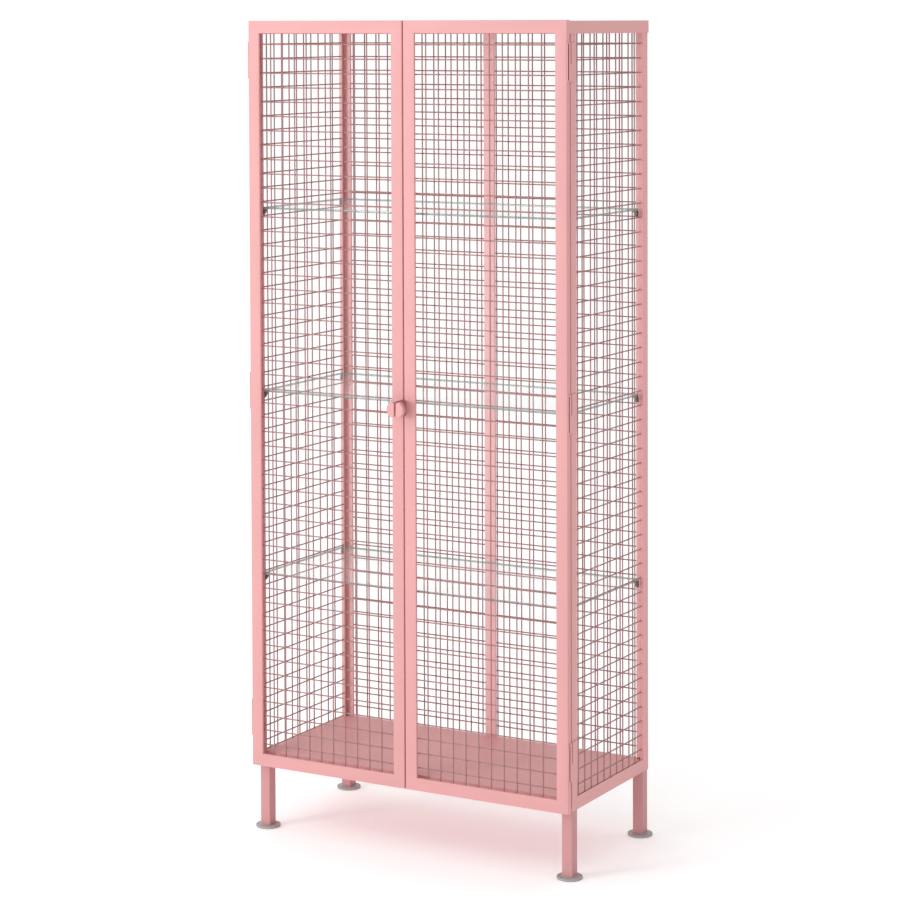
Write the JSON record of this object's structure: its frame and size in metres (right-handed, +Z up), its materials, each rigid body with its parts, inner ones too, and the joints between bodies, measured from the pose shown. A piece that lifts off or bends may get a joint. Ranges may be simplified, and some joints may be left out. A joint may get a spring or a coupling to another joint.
{
  "type": "mesh locker cabinet",
  "caption": "Tall pink metal locker cabinet with wire mesh sides, back and doors, glass shelves, round pulls and square legs on round feet.",
  "frame": {"origin": "on the floor under the middle of the whole outline, which runs from the pulls' fronts to the backs of the rear feet", "axes": "+Z up; the doors face -Y; +X to the right as seen by someone who faces the doors"},
  "size_m": [0.823, 0.4514, 1.8263],
  "materials": {
    "paint": "satin pink powder coat",
    "wire": "satin pink powder coat on wire",
    "glass": "clear float glass with polished edges",
    "foot": "matt light grey moulding",
    "bracket": "matt grey moulding"
  },
  "bodies": {
    "cabinet": {"leg_front_left": "paint", "leg_front_right": "paint", "leg_rear_left": "paint", "leg_rear_right": "paint", "foot_front_left": "foot", "foot_front_right": "foot", "foot_rear_left": "foot", "foot_rear_right": "foot", "post_front_left": "paint", "post_front_right": "paint", "post_rear_left": "paint", "post_rear_right": "paint", "lid": "paint", "floor_panel": "paint", "side_rail_left": "paint", "side_rail_right": "paint", "back_frame": "paint", "side_mesh_left": "wire", "side_mesh_right": "wire", "back_mesh_left": "wire", "back_mesh_right": "wire", "shelf_upper": "glass", "shelf_middle": "glass", "shelf_lower": "glass", "bracket_upper_front_left": "bracket", "bracket_upper_front_right": "bracket", "bracket_upper_rear_left": "bracket", "bracket_upper_rear_right": "bracket", "bracket_middle_front_left": "bracket", "bracket_middle_front_right": "bracket", "bracket_middle_rear_left": "bracket", "bracket_middle_rear_right": "bracket", "bracket_lower_front_left": "bracket", "bracket_lower_front_right": "bracket", "bracket_lower_rear_left": "bracket", "bracket_lower_rear_right": "bracket", "hinge_upper_left_frame_leaf": "paint", "hinge_middle_left_frame_leaf": "paint", "hinge_lower_left_frame_leaf": "paint", "hinge_upper_right_frame_leaf": "paint", "hinge_middle_right_frame_leaf": "paint", "hinge_lower_right_frame_leaf": "paint"},
    "door_left": {"door_frame_left": "paint", "door_mesh_left": "wire", "pull_tab_left": "paint", "pull_knob_left": "paint", "hinge_upper_left_door_leaf": "paint", "hinge_middle_left_door_leaf": "paint", "hinge_lower_left_door_leaf": "paint"},
    "door_right": {"door_frame_right": "paint", "door_mesh_right": "wire", "pull_tab_right": "paint", "pull_knob_right": "paint", "hinge_upper_right_door_leaf": "paint", "hinge_middle_right_door_leaf": "paint", "hinge_lower_right_door_leaf": "paint"}
  },
  "joints": [
    {"name": "door_left_hinge", "type": "hinge", "parent": "cabinet", "child": "door_left", "pos_m": [-0.396, -0.16945, 0.996], "axis": [0, 0, -1], "range_deg": [0, 110]},
    {"name": "door_right_hinge", "type": "hinge", "parent": "cabinet", "child": "door_right", "pos_m": [0.396, -0.16945, 0.996], "axis": [0, 0, 1], "range_deg": [0, 110]}
  ]
}
